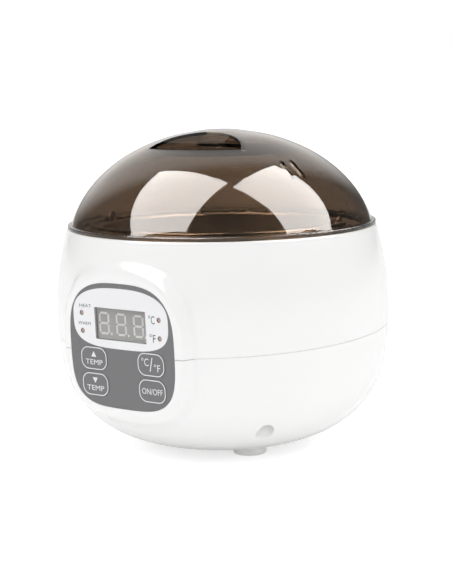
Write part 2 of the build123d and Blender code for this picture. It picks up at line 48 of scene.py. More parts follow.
# ---------------------------------------------------------------- sizes shared with the part
BODY_RADIUS = 104.0
EQUATOR_Z = 87.2
BELLY_DEPTH = 86.0
BELLY_POWER = 2.8
BASE_Z = 3.2
SHOULDER_RADIUS = 177.0
RIM_Z = 138.5
RIM_INNER_RADIUS = 91.0
DECK_Z = 136.0
DECK_UNDER_Z = 133.6
MOUTH_RADIUS = 79.5
WALL = 2.8
SEAM_Z = 75.7
SEAM_SLOPE = tan(radians(2.4))
SEAM_GAP = 0.3
SEAM_DEPTH = 0.6
SEAM_HALF_HEIGHT = 0.6
TONGUE_HEIGHT = 3.0
TONGUE_DROP = 6
TONGUE_OUTER_GAP = 0.1
TONGUE_INNER_GAP = 1.4
TONGUE_ROOT = 0.7
SHELL_SMOOTH_ANGLE = 35

PANEL_LEAN = radians(2.8)
PANEL_HALF_WIDTH = 39.3
PANEL_HALF_HEIGHT = 37.6
PANEL_TOP_POWER = 3.0
PANEL_BOTTOM_POWER = 3.6
PANEL_MARGIN = 2.2
PANEL_LIP = 3.3
OPENING_CLEARANCE = 0.25
TONGUE_CLEARANCE = 1.8
OPENING_REACH = (-30, 12)
RIM_ROUND = 1.4
RIM_INNER_ROUND = 0.6
MOUTH_BEVEL = 0.5
SHOULDER_WIDTH = 13.0

SCREW_CIRCLE = 84.0
SCREW_ANGLES = (53.0, 127.0, 233.0, 307.0)
SCREW_POCKET_RADIUS = 5.5
SCREW_POCKET_TOP = 56.0
PILLAR_TOP = 60.0
PILLAR_RADIUS = 7.5
PILLAR_BOTTOM = 10
FOOT_RADIUS = 10.2
FOOT_CLEARANCE = 0.3
FOOT_CIRCLE = 37.5
FOOT_ANGLES = (60.0, 180.0, 300.0)
FOOT_SEAT_Z = 5.6
GLAND_Z = 34.0
GLAND_FACE_Y = 93.0
GLAND_PAD_RADIUS = 11
GLAND_PAD_DEPTH = 16
GLAND_HOLE_RADIUS = 6.2

KEY_WIDTH = 20.4
KEY_HEIGHT = 14.3
KEY_CORNER = 5.8
KEY_PROUD = 0.3
KEY_U = 21.8
UPPER_KEY_V = -8.65
LOWER_KEY_V = -24.5
KEY_PLACES = {
    "temp_up": (-KEY_U, UPPER_KEY_V),
    "temp_down": (-KEY_U, LOWER_KEY_V),
    "unit": (KEY_U, UPPER_KEY_V),
    "power": (KEY_U, LOWER_KEY_V),
}
WINDOW_WIDTH = 38.6
WINDOW_HEIGHT = 19.0
WINDOW_V = 13.0
WINDOW_CLEARANCE = 0.2
WINDOW_CORNER = 0.6
LIGHT_U = 29.4
LIGHT_V = (18.45, 7.55)
LIGHT_RADIUS = 1.45
ZONE_HALF_WIDTH = 36.0
ZONE_HALF_HEIGHT = 18.2
ZONE_V = 16.65
ZONE_TOP_POWER = 2.6
ZONE_BOTTOM_POWER = 3.3
PRINT_DEPTH = 0.05
LIGHT_CLEARANCE = 0.1
KEY_LINE_INSET = 0.35
KEY_LINE_WIDTH = 0.55
ARROW_HALF_WIDTH = 1.95
ARROW_RISE = 2.5
ARROW_BASE = 1.6
ARROW_TIP = 1.8
LABEL_LIFT = 0.06
KEY_LINE_LIFT = 0.04
KEY_WORD_LIFT = 0.02
ARROW_SINK = 0.02
# name, words, width, height, place across, place up
PANEL_LABELS = (
    ("label_heat", "HEAT", 9.2, 1.9, -26.3, 22.9),
    ("label_warm", "WARM", 9.6, 1.9, -27.7, 12.2),
    ("label_celsius", "\u00b0C", 4.6, 5.0, 24.1, 18.3),
    ("label_fahrenheit", "\u00b0F", 4.6, 5.0, 24.2, 7.3),
)
# name, words, width, height, key, shift across, shift up
KEY_LABELS = (
    ("key_word_temp_up", "TEMP", 13.2, 3.1, "temp_up", 0.0, -2.3),
    ("key_word_temp_down", "TEMP", 13.2, 3.1, "temp_down", 0.0, -2.3),
    ("key_word_celsius", "\u00b0C", 5.2, 4.8, "unit", -4.2, 1.5),
    ("key_slash", "/", 2.6, 8.4, "unit", 0.2, 0.2),
    ("key_word_fahrenheit", "\u00b0F", 4.6, 4.4, "unit", 4.6, -1.5),
    ("key_word_power", "ON/OFF", 15.4, 3.6, "power", 0.0, -0.2),
)


# ---------------------------------------------------------------- shader node groups
def socket(group, name, kind, direction, value=None):
    item = group.interface.new_socket(name=name, in_out=direction, socket_type=kind)
    if value is not None:
        item.default_value = value
    return item


def link(tree, source, target):
    tree.links.new(source, target)


def moulded_skin_group():
    """Fine moulding texture: a soft height, and a roughness that drifts across the surface."""
    group = bpy.data.node_groups.new("moulded_skin", "ShaderNodeTree")
    socket(group, "Ripple Size", "NodeSocketFloat", "INPUT", 900.0)
    socket(group, "Roughness", "NodeSocketFloat", "INPUT", 0.2)
    socket(group, "Drift", "NodeSocketFloat", "INPUT", 0.04)
    socket(group, "Height", "NodeSocketFloat", "OUTPUT")
    socket(group, "Roughness", "NodeSocketFloat", "OUTPUT")
    start, end = group.nodes.new("NodeGroupInput"), group.nodes.new("NodeGroupOutput")
    place = group.nodes.new("ShaderNodeTexCoord")
    ripple = group.nodes.new("ShaderNodeTexNoise")
    ripple.inputs["Detail"].default_value = 3.0
    cloud = group.nodes.new("ShaderNodeTexNoise")
    cloud.inputs["Scale"].default_value = 22.0
    cloud.inputs["Detail"].default_value = 4.0
    centre = group.nodes.new("ShaderNodeMath")
    centre.operation = "SUBTRACT"
    centre.inputs[1].default_value = 0.5
    sway = group.nodes.new("ShaderNodeMath")
    sway.operation = "MULTIPLY"
    total = group.nodes.new("ShaderNodeMath")
    total.operation = "ADD"
    link(group, place.outputs["Object"], ripple.inputs["Vector"])
    link(group, place.outputs["Object"], cloud.inputs["Vector"])
    link(group, start.outputs["Ripple Size"], ripple.inputs["Scale"])
    link(group, cloud.outputs["Fac"], centre.inputs[0])
    link(group, centre.outputs[0], sway.inputs[0])
    link(group, start.outputs["Drift"], sway.inputs[1])
    link(group, sway.outputs[0], total.inputs[0])
    link(group, start.outputs["Roughness"], total.inputs[1])
    link(group, ripple.outputs["Fac"], end.inputs["Height"])
    link(group, total.outputs[0], end.inputs["Roughness"])
    return group


def tone_group():
    """Colour that shifts a little between two tones in soft clouds and fine specks."""
    group = bpy.data.node_groups.new("tone_drift", "ShaderNodeTree")
    socket(group, "Light Tone", "NodeSocketColor", "INPUT", (0.8, 0.8, 0.8, 1))
    socket(group, "Dark Tone", "NodeSocketColor", "INPUT", (0.7, 0.7, 0.7, 1))
    socket(group, "Cloud Size", "NodeSocketFloat", "INPUT", 14.0)
    socket(group, "Color", "NodeSocketColor", "OUTPUT")
    start, end = group.nodes.new("NodeGroupInput"), group.nodes.new("NodeGroupOutput")
    place = group.nodes.new("ShaderNodeTexCoord")
    cloud = group.nodes.new("ShaderNodeTexNoise")
    cloud.inputs["Detail"].default_value = 6.0
    cloud.inputs["Roughness"].default_value = 0.6
    mix = group.nodes.new("ShaderNodeMix")
    mix.data_type = "RGBA"
    link(group, place.outputs["Object"], cloud.inputs["Vector"])
    link(group, start.outputs["Cloud Size"], cloud.inputs["Scale"])
    link(group, cloud.outputs["Fac"], mix.inputs["Factor"])
    link(group, start.outputs["Light Tone"], mix.inputs[6])
    link(group, start.outputs["Dark Tone"], mix.inputs[7])
    link(group, mix.outputs[2], end.inputs["Color"])
    return group


def spun_lines_group():
    """Fine rings round the Z axis, as a lathe leaves them on sheet metal."""
    group = bpy.data.node_groups.new("spun_lines", "ShaderNodeTree")
    socket(group, "Line Pitch", "NodeSocketFloat", "INPUT", 900.0)
    socket(group, "Height", "NodeSocketFloat", "OUTPUT")
    socket(group, "Streak", "NodeSocketFloat", "OUTPUT")
    start, end = group.nodes.new("NodeGroupInput"), group.nodes.new("NodeGroupOutput")
    place = group.nodes.new("ShaderNodeTexCoord")
    split = group.nodes.new("ShaderNodeSeparateXYZ")
    flat = group.nodes.new("ShaderNodeCombineXYZ")
    reach = group.nodes.new("ShaderNodeVectorMath")
    reach.operation = "LENGTH"
    ring = group.nodes.new("ShaderNodeCombineXYZ")
    lines = group.nodes.new("ShaderNodeTexNoise")
    lines.inputs["Detail"].default_value = 2.0
    link(group, place.outputs["Object"], split.inputs[0])
    link(group, split.outputs["X"], flat.inputs["X"])
    link(group, split.outputs["Y"], flat.inputs["Y"])
    link(group, flat.outputs[0], reach.inputs[0])
    link(group, reach.outputs["Value"], ring.inputs["X"])
    link(group, split.outputs["Z"], ring.inputs["Y"])
    link(group, ring.outputs[0], lines.inputs["Vector"])
    link(group, start.outputs["Line Pitch"], lines.inputs["Scale"])
    link(group, lines.outputs["Fac"], end.inputs["Height"])
    link(group, lines.outputs["Fac"], end.inputs["Streak"])
    return group


MOULDED = moulded_skin_group()
TONE = tone_group()
SPUN = spun_lines_group()


# ---------------------------------------------------------------- materials
def tinted(colour, factor):
    return tuple(min(1.0, channel * factor) for channel in colour[:3]) + (1.0,)


def new_material(name):
    material = bpy.data.materials.new(name)
    material.use_nodes = True
    tree = material.node_tree
    return material, tree, tree.nodes["Principled BSDF"]


def surface(name, colour, roughness, drift=0.04, ripple=900.0, bump=0.02, metallic=0.0, coat=0.0, dark=0.93):
    """Moulded or painted surface with drifting tone, drifting gloss and a fine moulding texture."""
    material, tree, shader = new_material(name)
    tone = tree.nodes.new("ShaderNodeGroup")
    tone.node_tree = TONE
    tone.inputs["Light Tone"].default_value = (*colour, 1.0)
    tone.inputs["Dark Tone"].default_value = tinted(colour, dark)
    skin = tree.nodes.new("ShaderNodeGroup")
    skin.node_tree = MOULDED
    skin.inputs["Ripple Size"].default_value = ripple
    skin.inputs["Roughness"].default_value = roughness
    skin.inputs["Drift"].default_value = drift
    raised = tree.nodes.new("ShaderNodeBump")
    raised.inputs["Strength"].default_value = bump
    raised.inputs["Distance"].default_value = 0.0005
    link(tree, tone.outputs["Color"], shader.inputs["Base Color"])
    link(tree, skin.outputs["Roughness"], shader.inputs["Roughness"])
    link(tree, skin.outputs["Height"], raised.inputs["Height"])
    link(tree, raised.outputs["Normal"], shader.inputs["Normal"])
    shader.inputs["Metallic"].default_value = metallic
    shader.inputs["Coat Weight"].default_value = coat
    return material


def spun_metal(name, colour, roughness, bump=0.08):
    """Sheet metal with lathe rings."""
    material, tree, shader = new_material(name)
    rings = tree.nodes.new("ShaderNodeGroup")
    rings.node_tree = SPUN
    span = tree.nodes.new("ShaderNodeMapRange")
    span.inputs["To Min"].default_value = roughness - 0.08
    span.inputs["To Max"].default_value = roughness + 0.1
    tone = tree.nodes.new("ShaderNodeGroup")
    tone.node_tree = TONE
    tone.inputs["Light Tone"].default_value = (*colour, 1.0)
    tone.inputs["Dark Tone"].default_value = tinted(colour, 0.85)
    tone.inputs["Cloud Size"].default_value = 60.0
    raised = tree.nodes.new("ShaderNodeBump")
    raised.inputs["Strength"].default_value = bump
    raised.inputs["Distance"].default_value = 0.0003
    link(tree, rings.outputs["Streak"], span.inputs["Value"])
    link(tree, span.outputs["Result"], shader.inputs["Roughness"])
    link(tree, rings.outputs["Height"], raised.inputs["Height"])
    link(tree, raised.outputs["Normal"], shader.inputs["Normal"])
    link(tree, tone.outputs["Color"], shader.inputs["Base Color"])
    shader.inputs["Metallic"].default_value = 1.0
    return material


def smoky_plastic(name, colour, roughness=0.012):
    """Clear tinted plastic, polished, with the faintest flow marks."""
    material, tree, shader = new_material(name)
    tone = tree.nodes.new("ShaderNodeGroup")
    tone.node_tree = TONE
    tone.inputs["Light Tone"].default_value = (*colour, 1.0)
    tone.inputs["Dark Tone"].default_value = tinted(colour, 0.97)
    tone.inputs["Cloud Size"].default_value = 8.0
    skin = tree.nodes.new("ShaderNodeGroup")
    skin.node_tree = MOULDED
    skin.inputs["Ripple Size"].default_value = 40.0
    skin.inputs["Roughness"].default_value = roughness
    skin.inputs["Drift"].default_value = 0.01
    link(tree, tone.outputs["Color"], shader.inputs["Base Color"])
    link(tree, skin.outputs["Roughness"], shader.inputs["Roughness"])
    shader.inputs["Transmission Weight"].default_value = 1.0
    shader.inputs["IOR"].default_value = 1.5
    return material


WHITE_ABS = surface("white_abs", (0.9, 0.9, 0.895), 0.16, ripple=260.0, bump=0.03, dark=0.985)
WHITE_FOOT = surface("white_foot_rubber", (0.93, 0.93, 0.92), 0.45, ripple=1400.0, bump=0.15, dark=0.94)
SMOKY_LID = smoky_plastic("smoky_lid", (0.335, 0.265, 0.205))
SMOKY_DISC = smoky_plastic("smoky_disc", (0.66, 0.61, 0.57))
CLEAR_FILM = smoky_plastic("clear_film", (0.93, 0.93, 0.92), 0.08)
FILM_GREY = surface("film_grey_ink", (0.168, 0.168, 0.173), 0.42, ripple=2600.0, bump=0.12, dark=0.94)
FILM_WHITE = surface("film_white_ink", (0.84, 0.84, 0.855), 0.40, ripple=2600.0, bump=0.10, dark=0.975)
INK_WHITE = surface("print_white", (0.80, 0.80, 0.81), 0.5, ripple=3000.0, bump=0.1, dark=0.95)
INK_DARK = surface("print_dark", (0.10, 0.10, 0.105), 0.5, ripple=3000.0, bump=0.1, dark=0.9)
DISPLAY_FACE = surface("display_face", (0.46, 0.45, 0.44), 0.55, ripple=2200.0, bump=0.1, dark=0.93)
SEGMENT_MILK = surface("segment_milk", (0.93, 0.92, 0.90), 0.35, ripple=1800.0, bump=0.05, dark=0.93)
LAMP_BROWN = surface("lamp_epoxy", (0.50, 0.36, 0.32), 0.25, ripple=1500.0, bump=0.05, dark=0.85, coat=0.4)
CARRIER_WHITE = surface("carrier_white", (0.82, 0.82, 0.82), 0.4, ripple=900.0, bump=0.1, dark=0.96)
BOARD_GREEN = surface("board_mask", (0.02, 0.16, 0.06), 0.35, ripple=700.0, bump=0.1, dark=0.7)
BLACK_MOULD = surface("black_mould", (0.02, 0.02, 0.021), 0.45, ripple=1300.0, bump=0.2, dark=0.7)
RELAY_BLUE = surface("relay_blue", (0.03, 0.14, 0.38), 0.3, ripple=900.0, bump=0.1, dark=0.85)
TERMINAL_GREEN = surface("terminal_green", (0.05, 0.26, 0.10), 0.4, ripple=900.0, bump=0.1, dark=0.85)
SILICONE_RED = surface("heater_silicone", (0.36, 0.06, 0.03), 0.6, ripple=500.0, bump=0.3, dark=0.8)
SILICONE_GREY = surface("seal_silicone", (0.6, 0.6, 0.58), 0.6, ripple=600.0, bump=0.25, dark=0.9)
WOOL_WRAP = surface("wool_wrap", (0.75, 0.72, 0.62), 0.95, ripple=420.0, bump=1.0, dark=0.75)
SLEEVE_WHITE = surface("braid_sleeve", (0.7, 0.7, 0.66), 0.8, ripple=2200.0, bump=0.8, dark=0.8)
ZINC_STEEL = surface("zinc_steel", (0.56, 0.56, 0.57), 0.35, ripple=400.0, bump=0.1, metallic=1.0, dark=0.8)
POLISHED_WIRE = surface(
    "polished_wire", (0.72, 0.71, 0.70), 0.12, ripple=300.0, bump=0.05, metallic=1.0, dark=0.9
)
SPUN_ALUMINIUM = spun_metal("spun_aluminium", (0.80, 0.79, 0.78), 0.32, bump=0.03)
BOWL_ALUMINIUM = spun_metal("bowl_aluminium", (0.66, 0.66, 0.66), 0.38)

CAD_FINISH = {
    WHITE_FOOT: ("foot_front_right", "foot_front_left", "foot_rear"),
    BLACK_MOULD: ("cord_bush", "cord_bush_nut", "tact_switches", "power_transformer", "smoothing_capacitor"),
    CARRIER_WHITE: ("panel_carrier",),
    FILM_GREY: ("panel_overlay", "key_temp_up", "key_temp_down", "key_unit", "key_power"),
    CLEAR_FILM: ("display_window",),
    DISPLAY_FACE: ("display_module",),
    SEGMENT_MILK: ("display_segments",),
    LAMP_BROWN: ("indicator_lights",),
    BOARD_GREEN: ("control_board", "power_board"),
    ZINC_STEEL: (
        "shell_screws", "control_board_screws", "shield_screws", "power_board_screws", "heater_clamps",
        "temperature_sensor", "sensor_clip", "thermal_cutout", "mains_fuse", "pot_ears", "ear_rivets",
    ),
    BOWL_ALUMINIUM: ("heating_bowl", "heat_shield"),
    SPUN_ALUMINIUM: ("wax_pot",),
    SILICONE_GREY: ("bowl_seal",),
    SILICONE_RED: ("heater_band",),
    WOOL_WRAP: ("insulation_wrap",),
    RELAY_BLUE: ("power_relay",),
    TERMINAL_GREEN: ("terminal_block",),
    SLEEVE_WHITE: ("heater_leads", "panel_ribbon"),
    POLISHED_WIRE: ("pot_bail",),
    SMOKY_LID: ("lid_dome",),
    SMOKY_DISC: ("lid_grip_plate",),
    WHITE_ABS: ("upper_shell", "lower_shell"),
}


def finish_cad_nodes():
    for material, names in CAD_FINISH.items():
        for name in names:
            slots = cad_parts[name].data.materials
            slots.clear()
            slots.append(material)


# ---------------------------------------------------------------- modelling helpers
def only(piece):
    bpy.ops.object.select_all(action="DESELECT")
    piece.select_set(True)
    bpy.context.view_layer.objects.active = piece


def apply_modifier(piece, kind, **settings):
    only(piece)
    modifier = piece.modifiers.new(kind.lower(), kind)
    for name, value in settings.items():
        setattr(modifier, name, value)
    bpy.ops.object.modifier_apply(modifier=modifier.name)


def combine(piece, tool, operation):
    """Adds or cuts a tool from a piece, and deletes the tool."""
    apply_modifier(piece, "BOOLEAN", operation=operation, solver="EXACT", object=tool)
    bpy.data.objects.remove(tool)


def weld(piece):
    """Merges points that a cut left on top of each other."""
    only(piece)
    bpy.ops.object.mode_set(mode="EDIT")
    bpy.ops.mesh.select_all(action="SELECT")
    bpy.ops.mesh.remove_doubles(threshold=2e-6)
    bpy.ops.object.mode_set(mode="OBJECT")


def smooth(piece, angle=32):
    only(piece)
    bpy.ops.object.shade_smooth_by_angle(angle=radians(angle))


def lathe(name, profile, steps=192):
    """Piece spun round the Z axis from (radius, height) points in millimetres."""
    mesh = bpy.data.meshes.new(name)
    points = [(0, -r * MM, z * MM) for r, z in profile]
    closed = profile[0][0] > 0
    edges = [(i, i + 1) for i in range(len(points) - 1)] + ([(len(points) - 1, 0)] if closed else [])
    mesh.from_pydata(points, edges, [])
    piece = bpy.data.objects.new(name, mesh)
    bpy.context.scene.collection.objects.link(piece)
    only(piece)
    bpy.ops.object.mode_set(mode="EDIT")
    bpy.ops.mesh.select_all(action="SELECT")
    bpy.ops.mesh.spin(steps=steps, angle=2 * pi, center=(0, 0, 0), axis=(0, 0, 1))
    bpy.ops.mesh.select_all(action="SELECT")
    bpy.ops.mesh.remove_doubles(threshold=1e-6)
    bpy.ops.mesh.normals_make_consistent(inside=False)
    bpy.ops.object.mode_set(mode="OBJECT")
    return piece


def cylinder(radius, bottom, top, x=0.0, y=0.0, sides=96):
    bpy.ops.object.select_all(action="DESELECT")
    bpy.ops.mesh.primitive_cylinder_add(
        vertices=sides, radius=radius * MM, depth=(top - bottom) * MM,
        location=(x * MM, y * MM, (top + bottom) / 2 * MM),
    )
    tool = bpy.context.object
    bpy.ops.object.transform_apply(location=True, rotation=True, scale=True)
    return tool


def give(piece, material, body, slot, *replaced):
    piece.data.materials.clear()
    piece.data.materials.append(material)
    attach(piece, body)
    if replaced:
        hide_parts(*replaced)
    return piece


# ---------------------------------------------------------------- body form
PANEL_NORMAL = Vector((0, -cos(PANEL_LEAN), -sin(PANEL_LEAN)))
PANEL_UP = Vector((0, -sin(PANEL_LEAN), cos(PANEL_LEAN)))
FILM_THICKNESS = 0.5
film_low, film_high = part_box("panel_overlay")
PANEL_CENTRE = (film_low + film_high) / 2 / MM + PANEL_NORMAL * FILM_THICKNESS / 2


def body_radius(z, inset=0.0):
    """Outer radius of the round body at a height, before the panel's boss."""
    half_width = BODY_RADIUS - inset
    if z < EQUATOR_Z:
        share = min(1.0, (EQUATOR_Z - z) / (BELLY_DEPTH - inset))
        return half_width * (1 - share**BELLY_POWER) ** (1 / BELLY_POWER)
    arc = SHOULDER_RADIUS - inset
    return half_width - arc + (arc**2 - (z - EQUATOR_Z) ** 2) ** 0.5


def outside_panel(u, v):
    """About how far a point lies outside the panel's outline, negative inside it."""
    power = PANEL_TOP_POWER if v > 0 else PANEL_BOTTOM_POWER
    level = (abs(u / PANEL_HALF_WIDTH) ** power + abs(v / PANEL_HALF_HEIGHT) ** power) ** (1 / power)
    return (u * u + v * v) ** 0.5 * (1 - 1 / max(level, 1e-6))


def boss_radius(along, z, plain):
    """Radius of the body in one direction, with the panel's flat boss and the soft shoulder about it."""
    facing = along.dot(PANEL_NORMAL)
    if facing < 0.3:
        return plain
    flat = (PANEL_CENTRE - Vector((0, 0, z))).dot(PANEL_NORMAL) / facing
    offset = along * flat + Vector((0, 0, z)) - PANEL_CENTRE
    gap = outside_panel(offset.x, offset.dot(PANEL_UP)) - PANEL_MARGIN
    t = min(1.0, max(0.0, gap / SHOULDER_WIDTH))
    fade = t * t * t * (t * (6 * t - 15) + 10)
    return flat + (plain - flat) * fade


def raise_boss(shell):
    """Moves the walls of a spun body out or in to the panel's flat boss."""
    for vertex in shell.data.vertices:
        x, y, z = vertex.co / MM
        radius = (x * x + y * y) ** 0.5
        if y > 0 or radius < 60 or z > DECK_UNDER_Z - 0.5:
            continue
        along = Vector((x, y, 0)) / radius
        plain = body_radius(z)
        boss = boss_radius(along, z, plain)
        outer_wall = abs(radius - plain) < abs(radius - body_radius(z, WALL))
        radius = boss if outer_wall else min(radius, boss - PANEL_LIP)
        vertex.co = Vector((along.x * radius, along.y * radius, z)) * MM


def wall_curve(inset, base, top, belly_steps=56, shoulder_steps=26):
    """(radius, height) points up one side of the wall, from its base to its top."""
    depth = BELLY_DEPTH - inset
    last = asin(((EQUATOR_Z - base) / depth) ** (BELLY_POWER / 2))
    points = []
    for step in range(belly_steps, 0, -1):
        z = EQUATOR_Z - depth * sin(last * step / belly_steps) ** (2 / BELLY_POWER)
        points.append((body_radius(z, inset), z))
    for step in range(shoulder_steps + 1):
        z = EQUATOR_Z + (top - EQUATOR_Z) * step / shoulder_steps
        points.append((body_radius(z, inset), z))
    return points


def rounded_corner(corner, start_angle, radius, steps=6):
    """Quarter round about a corner's centre, from an angle in degrees, turning back by 90."""
    x, z = corner
    turns = [radians(start_angle + 90 * step / steps) for step in range(steps + 1)]
    return [(x + radius * cos(t), z + radius * sin(t)) for t in turns]


def hollow_body():
    """Both shells in one: outer wall, rolled rim, ledge for the pot and inner wall."""
    rim = RIM_ROUND
    profile = [(0, BASE_Z)] + wall_curve(0, BASE_Z, RIM_Z - rim)
    edge = body_radius(RIM_Z - rim)
    profile += rounded_corner((edge - rim, RIM_Z - rim), 0, rim)[1:]
    inner = RIM_INNER_ROUND
    profile += rounded_corner((RIM_INNER_RADIUS + inner, RIM_Z - inner), 90, inner)
    profile += [(RIM_INNER_RADIUS, DECK_Z), (MOUTH_RADIUS + MOUTH_BEVEL, DECK_Z)]
    profile += [(MOUTH_RADIUS, DECK_Z - MOUTH_BEVEL), (MOUTH_RADIUS, DECK_UNDER_Z)]
    profile += wall_curve(WALL, BASE_Z + WALL, DECK_UNDER_Z, 40, 20)[::-1]
    profile += [(0, BASE_Z + WALL)]
    body = lathe("body", profile, 288)
    raise_boss(body)
    return body


def superellipse(half_width, half_height, top_power, bottom_power, u=0.0, v=0.0, count=144):
    """Points of an outline that is rounder above and squarer below."""
    points = []
    for step in range(count):
        c, s = cos(2 * pi * (step + 0.5) / count), sin(2 * pi * (step + 0.5) / count)
        power = top_power if s > 0 else bottom_power
        across = half_width * abs(c) ** (2 / power) * (1 if c > 0 else -1)
        up = half_height * abs(s) ** (2 / power) * (1 if s > 0 else -1)
        points.append((u + across, v + up))
    return points


def panel_outline(grow=0.0):
    half_width, half_height = PANEL_HALF_WIDTH + grow, PANEL_HALF_HEIGHT + grow
    return superellipse(half_width, half_height, PANEL_TOP_POWER, PANEL_BOTTOM_POWER)


def rounded_box(width, height, corner, u=0.0, v=0.0, steps=10):
    """Points of a rectangle with round corners."""
    points = []
    for quarter, (sx, sy) in enumerate(((1, 1), (-1, 1), (-1, -1), (1, -1))):
        cx, cy = u + sx * (width / 2 - corner), v + sy * (height / 2 - corner)
        for step in range(steps + 1):
            t = pi / 2 * (quarter + step / steps)
            points.append((cx + corner * cos(t), cy + corner * sin(t)))
    return points


def to_panel(piece):
    """Moves a piece made flat at the origin, in metres, on to the panel."""
    across = Vector((1, 0, 0))
    turn = Matrix((across, PANEL_UP, PANEL_NORMAL)).transposed().to_4x4()
    piece.data.transform(Matrix.Translation(PANEL_CENTRE * MM) @ turn)
    return piece


def plate(name, outline, low, high):
    """Flat plate of an outline in panel coordinates, between two distances from the panel's face."""
    mesh = bpy.data.meshes.new(name)
    mesh.from_pydata([(u * MM, v * MM, low * MM) for u, v in outline], [], [range(len(outline))])
    piece = bpy.data.objects.new(name, mesh)
    bpy.context.scene.collection.objects.link(piece)
    only(piece)
    bpy.ops.object.mode_set(mode="EDIT")
    bpy.ops.mesh.select_all(action="SELECT")
    bpy.ops.mesh.extrude_region_move(TRANSFORM_OT_translate={"value": (0, 0, (high - low) * MM)})
    bpy.ops.mesh.select_all(action="SELECT")
    bpy.ops.mesh.normals_make_consistent(inside=False)
    bpy.ops.object.mode_set(mode="OBJECT")
    return to_panel(piece)


def joined(tools):
    """One mesh of several closed shapes that don't touch."""
    only(tools[0])
    for tool in tools[1:]:
        tool.select_set(True)
    bpy.ops.object.join()
    return bpy.context.object


def round_place(radius, angle):
    """Place on a circle, at an angle in degrees from the front towards +X."""
    return radius * sin(radians(angle)), -radius * cos(radians(angle))


def keep_side(name, whole, above):
    """Copy of a closed piece, cut at the tilted parting plane and closed there."""
    piece = whole.copy()
    piece.data = whole.data.copy()
    piece.name = name
    bpy.context.scene.collection.objects.link(piece)
    only(piece)
    lift = SEAM_GAP / 2 if above else -SEAM_GAP / 2
    bpy.ops.object.mode_set(mode="EDIT")
    bpy.ops.mesh.select_all(action="SELECT")
    bpy.ops.mesh.bisect(
        plane_co=(0, 0, (SEAM_Z + lift) * MM), plane_no=(0, -SEAM_SLOPE, 1),
        use_fill=True, clear_inner=above, clear_outer=not above,
    )
    bpy.ops.mesh.select_all(action="SELECT")
    bpy.ops.mesh.normals_make_consistent(inside=False)
    bpy.ops.object.mode_set(mode="OBJECT")
    return piece


def seam_tongue():
    """Ring of the lower shell that stands behind the seam."""
    low, seam, high = SEAM_Z - TONGUE_DROP, SEAM_Z - SEAM_HALF_HEIGHT, SEAM_Z + TONGUE_HEIGHT
    lip = SEAM_Z + SEAM_GAP / 2 - 0.03
    section = [
        (body_radius(low) - WALL + TONGUE_ROOT, low), (body_radius(seam) - WALL + TONGUE_ROOT, seam),
        (body_radius(seam) - SEAM_DEPTH, seam), (body_radius(seam) - SEAM_DEPTH, lip),
        (body_radius(seam) - WALL - TONGUE_OUTER_GAP, lip),
        (body_radius(high) - WALL - TONGUE_OUTER_GAP, high),
        (body_radius(high) - WALL - TONGUE_INNER_GAP, high),
        (body_radius(low) - WALL - TONGUE_INNER_GAP, low),
    ]
    ring = lathe("tongue", section, 192)
    for vertex in ring.data.vertices:
        vertex.co.z += SEAM_SLOPE * vertex.co.y
    return ring


def along_y(radius, start, end, z, sides=64):
    """Cylinder along Y between two places behind the body."""
    bpy.ops.object.select_all(action="DESELECT")
    bpy.ops.mesh.primitive_cylinder_add(
        vertices=sides, radius=radius * MM, depth=(end - start) * MM,
        location=(0, (start + end) / 2 * MM, z * MM), rotation=(pi / 2, 0, 0),
    )
    tool = bpy.context.object
    bpy.ops.object.transform_apply(location=True, rotation=True, scale=True)
    return tool


def mould_shells():
    body = hollow_body()
    opening = plate("opening", panel_outline(OPENING_CLEARANCE), *OPENING_REACH)
    combine(body, opening, "DIFFERENCE")
    upper = keep_side("upper_body_shell", body, True)
    lower = keep_side("lower_body_shell", body, False)
    bpy.data.objects.remove(body)

    tongue = seam_tongue()
    opening = plate("opening", panel_outline(TONGUE_CLEARANCE), *OPENING_REACH)
    combine(tongue, opening, "DIFFERENCE")
    combine(lower, tongue, "UNION")

    # screw pillars inside the belly, with deep pockets from below
    middle = WALL / 2
    belly = wall_curve(middle, BASE_Z + middle, PILLAR_TOP, 40, 1)[:-2]
    core = lathe("core", [(0, BASE_Z + middle)] + belly + [(0, PILLAR_TOP)], 192)
    screw_places = [round_place(SCREW_CIRCLE, angle) for angle in SCREW_ANGLES]
    foot_places = [round_place(FOOT_CIRCLE, angle) for angle in FOOT_ANGLES]
    pillars = joined([cylinder(PILLAR_RADIUS, PILLAR_BOTTOM, PILLAR_TOP - 1, *place) for place in screw_places])
    combine(pillars, core, "INTERSECT")
    combine(lower, pillars, "UNION")

    # flat pad for the cord inlet
    combine(lower, along_y(GLAND_PAD_RADIUS, GLAND_FACE_Y - GLAND_PAD_DEPTH, GLAND_FACE_Y, GLAND_Z), "UNION")
    combine(lower, along_y(GLAND_PAD_RADIUS, GLAND_FACE_Y, GLAND_FACE_Y + GLAND_PAD_DEPTH, GLAND_Z), "DIFFERENCE")
    cuts = [cylinder(SCREW_POCKET_RADIUS, 0, SCREW_POCKET_TOP, *place) for place in screw_places]
    cuts += [cylinder(FOOT_RADIUS + FOOT_CLEARANCE, 0, FOOT_SEAT_Z, *place) for place in foot_places]
    cuts.append(along_y(GLAND_HOLE_RADIUS, GLAND_FACE_Y - 30, GLAND_FACE_Y + 1, GLAND_Z))
    for cut in cuts:
        combine(lower, cut, "DIFFERENCE")

    for shell in (upper, lower):
        weld(shell)
        smooth(shell, SHELL_SMOOTH_ANGLE)
    give(upper, WHITE_ABS, "base", "white_shell", "upper_shell")
    give(lower, WHITE_ABS, "base", "white_shell", "lower_shell")


